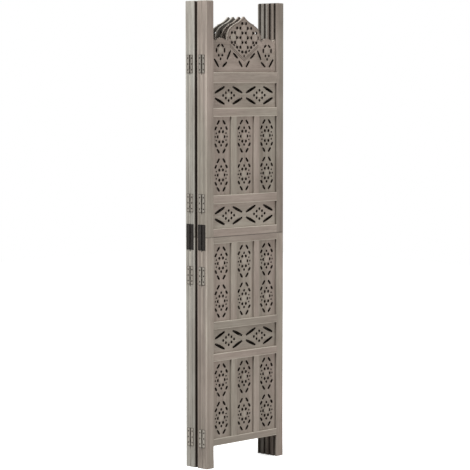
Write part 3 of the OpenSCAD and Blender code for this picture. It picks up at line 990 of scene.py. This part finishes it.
def darken_border(piece, pin, border):
    """Cuts each leaf along its free side and its ends, and darkens the strip outside the cuts."""
    low, high = extent(piece)
    feet, tops = leaf_ends(piece)
    side, inward = (low.y, border) if pin.y - low.y > high.y - pin.y else (high.y, -border)
    cut_level(piece, THROUGH, side + inward)
    for level in [foot + border for foot in feet] + [top - border for top in tops]:
        cut_level(piece, UP, level)
    for face in piece.data.polygons:
        to_end = min(abs(face.center.z - end) for end in feet + tops)
        if face.material_index == PAINT and min(abs(face.center.y - side), to_end) < border:
            face.material_index = SHADOW


def finish_hinge(node, body, paint, shadow, slot, pin, border):
    """Paints a node's leaves. Their edges and borders, and the sides of the knuckles, are dark."""
    knuckle_top = 0.8
    knuckle_reach = 3.2 * MM
    edge_round = 0.2 * MM
    piece = copied(node, node + "_painted", Matrix.Identity(4))

    def rule(face):
        round_pin = (face.center - pin).to_2d().length < knuckle_reach
        outward = knuckle_top if round_pin else SQUARE
        return PAINT if abs(face.normal.x) > outward else SHADOW

    dress(piece, [paint, paint + "_worn", shadow], rule)
    round_edges(piece, edge_round, 2, WORN)
    darken_border(piece, pin, border)
    set_tone(piece)
    settle(piece, body, slot, node)


class SCREEN_OT_hinges(bpy.types.Operator):
    """Paints the hinges of the three fold lines and polishes their pins"""

    bl_idname = "screen_parts.hinges"
    bl_label = "Finish the Hinges"

    def execute(self, context):
        painted = ("hinge_paint", "hinge_shadow", "painted_hinge")
        black = ("black_paint", "black_shadow", "black_hinge")
        painted_border = 1.3 * MM
        black_border = 2.4 * MM
        for j in FOLDS:
            pin = Vector(JOINTS[f"fold_{j}"]["pos_m"])
            sides = (("front", f"panel_{j}"), ("rear", f"panel_{j + 1}"))
            for side, body in sides:
                finish_hinge(f"fold_{j}_{side}_leaves", body, *painted, pin, painted_border)
            for side, body in sides:
                finish_hinge(f"fold_{j}_joining_{side}_leaf", body, *black, pin, black_border)
            pins = copied(f"fold_{j}_pins", f"fold_{j}_pins_turned", Matrix.Identity(4))
            dress(pins, ["pin_steel"], lambda face: 0)
            set_tone(pins)
            settle(pins, f"panel_{j}", "hinge_pin", f"fold_{j}_pins")
        return {"FINISHED"}


def model_screw(head_radius, length):
    """A countersunk wood screw with a cross recess, its head at the origin and its way along +X."""
    shank_radius = 0.52 * head_radius
    rim = 0.2 * MM
    cone = head_radius - shank_radius
    tip = 2.5 * MM
    shank = length - rim - cone - tip
    point = 0.05
    bpy.ops.mesh.primitive_circle_add(
        vertices=20, radius=head_radius, fill_type="NGON", location=(0, 0, 0),
        rotation=(0, math.radians(90), 0))
    screw = bpy.context.active_object
    bpy.ops.object.transform_apply(location=True, rotation=True, scale=True)
    edit(screw)
    for way, scale in ((rim, 1.0), (cone, shank_radius / head_radius), (shank, 1.0), (tip, point)):
        bpy.ops.mesh.extrude_region_move(TRANSFORM_OT_translate={"value": (way, 0, 0)})
        bpy.ops.transform.resize(value=(1, scale, scale))
    bpy.ops.mesh.select_all(action="SELECT")
    bpy.ops.mesh.normals_make_consistent(inside=False)
    close_edit()
    screw.data.materials.append(finish("screw_steel"))
    arms = [add_arm(head_radius, turn) for turn in (0, 90)]
    for arm in arms:
        combine(screw, [arm], "DIFFERENCE")
    return screw


def add_arm(head_radius, turn):
    """One arm of the cross recess in a screw's head."""
    width = 0.24 * head_radius
    depth = 0.45 * head_radius
    reach = 1.15 * head_radius
    bpy.ops.mesh.primitive_cube_add(size=1, location=(0, 0, 0))
    arm = bpy.context.active_object
    arm.scale = (2 * depth, reach, width)
    arm.rotation_euler = (math.radians(turn), 0, 0)
    bpy.ops.object.transform_apply(location=True, rotation=True, scale=True)
    arm.data.materials.append(finish("screw_recess"))
    return arm


def drive_screws(k):
    """Sets a modelled screw in the place of each CAD screw of panel k, each turned its own way."""
    node = f"panel_{k}_hinge_screws"
    parts = taken_apart(copied(node, node + "_driven", panel_place(k).inverted()))
    low, high = extent(parts[0])
    screw = model_screw((high.z - low.z) / 2, high.x - low.x)
    turns = random.Random(node)
    joining_reach = 60 * MM
    driven = []
    for part in parts:
        low, high = extent(part)
        on_left = high.x < 0
        head = Vector((low.x if on_left else high.x, (low.y + high.y) / 2, (low.z + high.z) / 2))
        turn = Matrix.Rotation(math.radians(turns.uniform(0, 90)), 4, "X")
        facing = Matrix.Identity(4) if on_left else Matrix.Rotation(math.pi, 4, "Z")
        new = screw.copy()
        new.data = screw.data.copy()
        bpy.context.scene.collection.objects.link(new)
        new.data.transform(panel_place(k) @ Matrix.Translation(head) @ facing @ turn)
        if abs(head.z - SEAM) < joining_reach:
            new.data.materials[0] = finish("black_paint")
            new.data.materials[1] = finish("black_shadow")
        driven.append(new)
        bpy.data.objects.remove(part)
    bpy.data.objects.remove(screw)
    piece = joined(driven, node + "_driven")
    set_tone(piece)
    settle(piece, f"panel_{k}", "dark_screw", node)


class SCREEN_OT_fasteners(bpy.types.Operator):
    """Sets the hinge screws and finishes the dowels"""

    bl_idname = "screen_parts.fasteners"
    bl_label = "Set the Fasteners"

    def execute(self, context):
        for k in PANELS:
            drive_screws(k)
            dowels = frame["nodes"][f"panel_{k}_seam_dowels"]
            dowels.data.materials.clear()
            dowels.data.materials.append(finish("raw_wood"))
        return {"FINISHED"}


# ---------- Stage ----------


def split_by_ray(tree, seen, other):
    """Shows one shader to the camera, glossy and transmission rays, and the other to the rest."""
    path = tree.nodes.new("ShaderNodeLightPath")
    share = path.outputs["Is Camera Ray"]
    for ray in ("Is Glossy Ray", "Is Transmission Ray"):
        most = tree.nodes.new("ShaderNodeMath")
        most.operation = "MAXIMUM"
        tree.links.new(share, most.inputs[0])
        tree.links.new(path.outputs[ray], most.inputs[1])
        share = most.outputs[0]
    mix = tree.nodes.new("ShaderNodeMixShader")
    tree.links.new(share, mix.inputs[0])
    tree.links.new(other, mix.inputs[1])
    tree.links.new(seen, mix.inputs[2])
    return mix.outputs[0]


def light_world(strength):
    """Even light from all round, white where the camera sees it."""
    world = bpy.data.worlds.new("studio")
    bpy.context.scene.world = world
    world.use_nodes = True
    tree = world.node_tree
    tree.nodes.clear()
    seen = tree.nodes.new("ShaderNodeBackground")
    seen.inputs["Color"].default_value = (1, 1, 1, 1)
    seen.inputs["Strength"].default_value = 1.0
    soft = tree.nodes.new("ShaderNodeBackground")
    soft.inputs["Color"].default_value = (1, 1, 1, 1)
    soft.inputs["Strength"].default_value = strength
    out = tree.nodes.new("ShaderNodeOutputWorld")
    shown = split_by_ray(tree, seen.outputs[0], soft.outputs[0])
    tree.links.new(shown, out.inputs["Surface"])


def floor_material():
    """A white floor that keeps the soft shadow."""
    made = Finish("studio_floor")
    tree = made.tree
    matt = made.node("BsdfDiffuse", {}, {"Color": (0.8, 0.8, 0.8, 1)})
    glow = made.node("Emission", {}, {"Color": (1, 1, 1, 1), "Strength": 0.75})
    both = made.node("AddShader", {}, {0: matt.outputs[0], 1: glow.outputs[0]})
    lit = made.node("BsdfDiffuse", {}, {"Color": (0.28, 0.28, 0.28, 1)})
    shown = split_by_ray(tree, both.outputs[0], lit.outputs[0])
    made.node("OutputMaterial", {}, {"Surface": shown})
    return made.material


def add_lamp(name, aim, power, place, size, colour):
    """A round soft light that faces its aim."""
    bpy.ops.object.light_add(type="AREA", location=place)
    lamp = bpy.context.active_object
    lamp.name = name
    lamp.data.shape = "DISK"
    lamp.data.size = size
    lamp.data.energy = power
    lamp.data.color = colour
    lamp.rotation_mode = "QUATERNION"
    lamp.rotation_quaternion = (Vector(aim) - Vector(place)).to_track_quat("-Z", "Y")


# Each lamp's place, width and colour. Its power is one of the stage's settings
LAMPS = {
    "key": ((-4.6, -0.5, 5.1), 3.0, (0.95, 1.0, 1.02)),
    "fill": ((1.6, -4.2, 0.8), 2.6, (1, 1, 1)),
    "back": ((1.8, 3.2, 2.6), 2.6, (1, 1, 1)),
}


class SCREEN_OT_stage(bpy.types.Operator):
    """Sets the floor, the lights and the camera"""

    bl_idname = "screen_parts.stage"
    bl_label = "Set the Stage"

    def execute(self, context):
        stage = context.scene.screen_stage
        context.scene.view_settings.view_transform = "Standard"
        light_world(stage.ambient)
        bpy.ops.mesh.primitive_plane_add(size=14, location=(0, 0, CAD_BOX[0].z))
        floor = context.active_object
        floor.name = "floor"
        bpy.ops.object.transform_apply(location=True, rotation=True, scale=True)
        floor.data.materials.append(floor_material())
        aim = (CAD_BOX[0] + CAD_BOX[1]) / 2
        for name, light in LAMPS.items():
            add_lamp(name, aim, getattr(stage, name + "_power"), *light)
        bpy.ops.object.camera_add(location=stage.camera_place)
        camera = context.active_object
        camera.data.lens = stage.lens
        camera.data.sensor_width = 36
        level = math.cos(stage.camera_dip)
        ahead = Vector((math.sin(stage.camera_turn) * level, math.cos(stage.camera_turn) * level,
                        -math.sin(stage.camera_dip)))
        camera.rotation_mode = "QUATERNION"
        camera.rotation_quaternion = ahead.to_track_quat("-Z", "Y")
        context.scene.camera = camera
        return {"FINISHED"}


# ---------- Sidebar and main ----------


STEPS = (SCREEN_OT_frames, SCREEN_OT_crest_boards, SCREEN_OT_cross_boards, SCREEN_OT_column_boards,
         SCREEN_OT_hinges, SCREEN_OT_fasteners, SCREEN_OT_stage)
GROUPS = {"screen_carving": ScreenCarving, "screen_finish": ScreenFinish,
          "screen_stage": ScreenStage}


class SCREEN_PT_sidebar(bpy.types.Panel):
    """Lists the steps that dress the screen"""

    bl_idname = "SCREEN_PT_sidebar"
    bl_label = "Pierced Folding Screen"
    bl_space_type = "VIEW_3D"
    bl_region_type = "UI"
    bl_category = "Screen"

    def draw(self, context):
        for step in STEPS:
            self.layout.operator(step.bl_idname)
        for group in GROUPS:
            settings = getattr(context.scene, group)
            for name in settings.__annotations__:
                self.layout.prop(settings, name)


def register():
    for kind in (*GROUPS.values(), *STEPS, SCREEN_PT_sidebar):
        bpy.utils.register_class(kind)
    for name, group in GROUPS.items():
        setattr(bpy.types.Scene, name, PointerProperty(type=group))


def unregister():
    for name in GROUPS:
        delattr(bpy.types.Scene, name)
    for kind in (SCREEN_PT_sidebar, *STEPS, *GROUPS.values()):
        bpy.utils.unregister_class(kind)


def main():
    register()
    bpy.ops.screen_parts.frames()
    bpy.ops.screen_parts.crest_boards()
    bpy.ops.screen_parts.cross_boards()
    bpy.ops.screen_parts.column_boards()
    bpy.ops.screen_parts.hinges()
    bpy.ops.screen_parts.fasteners()
    bpy.ops.screen_parts.stage()


if __name__ == "__main__":
    main()
